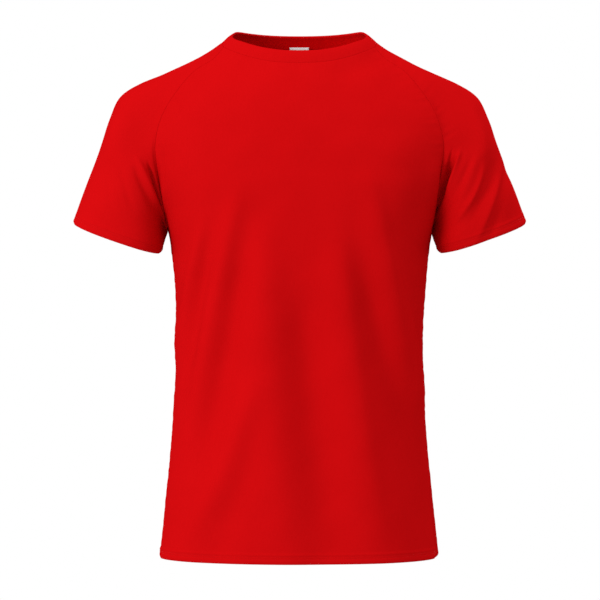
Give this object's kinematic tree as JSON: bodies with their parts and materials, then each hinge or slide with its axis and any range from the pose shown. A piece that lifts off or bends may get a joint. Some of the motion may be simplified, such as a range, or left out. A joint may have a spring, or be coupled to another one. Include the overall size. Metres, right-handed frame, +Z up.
{
  "type": "raglan t-shirt",
  "caption": "Short-sleeved raglan t-shirt with a crew neck, worn and filled out with no wearer, its neck, hem and cuffs open.",
  "frame": {"origin": "middle of the neck opening at the height of its highest points, where the wearer's neck and shoulders hold the shirt up", "axes": "+Z up, -Y the way the wearer faces, +X to the wearer's left"},
  "size_m": [0.6048, 0.2389, 0.7041],
  "materials": {
    "jersey": "smooth fine polyester jersey, soft sheen",
    "label": "plain white woven tape"
  },
  "bodies": {
    "root": {"front": "jersey", "back": "jersey", "sleeve_left": "jersey", "sleeve_right": "jersey", "neckband": "jersey", "neck_label": "label"}
  },
  "joints": []
}
